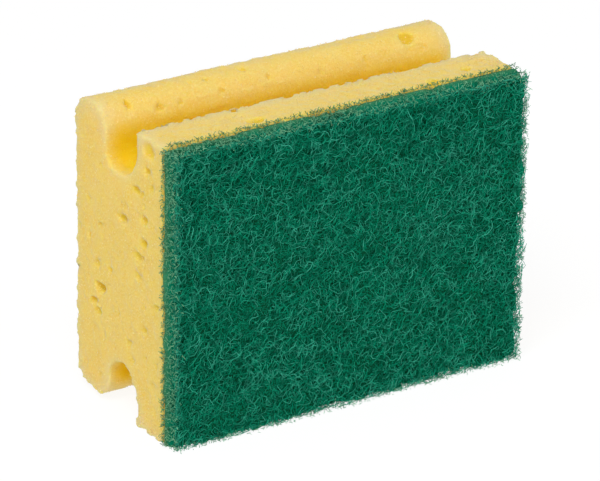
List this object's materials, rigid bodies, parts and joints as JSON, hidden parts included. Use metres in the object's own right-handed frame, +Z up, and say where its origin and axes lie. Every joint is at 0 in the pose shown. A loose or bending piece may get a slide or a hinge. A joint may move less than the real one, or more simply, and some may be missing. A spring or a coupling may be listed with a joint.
{
  "type": "sponge scourer",
  "caption": "Sponge scourer with a finger groove along each long edge and a fibrous scouring pad bonded to one broad face.",
  "frame": {"origin": "on the ground, under the middle of the sponge as it stands on a long edge", "axes": "+X along the length, -Y out of the scouring side and +Y out of the grip's back, +Z up from the long edge that it stands on"},
  "size_m": [0.092, 0.042, 0.07],
  "materials": {
    "foam": "matte",
    "pad": "matte"
  },
  "bodies": {
    "root": {"foam_body": "foam", "scouring_pad": "pad"}
  },
  "joints": []
}
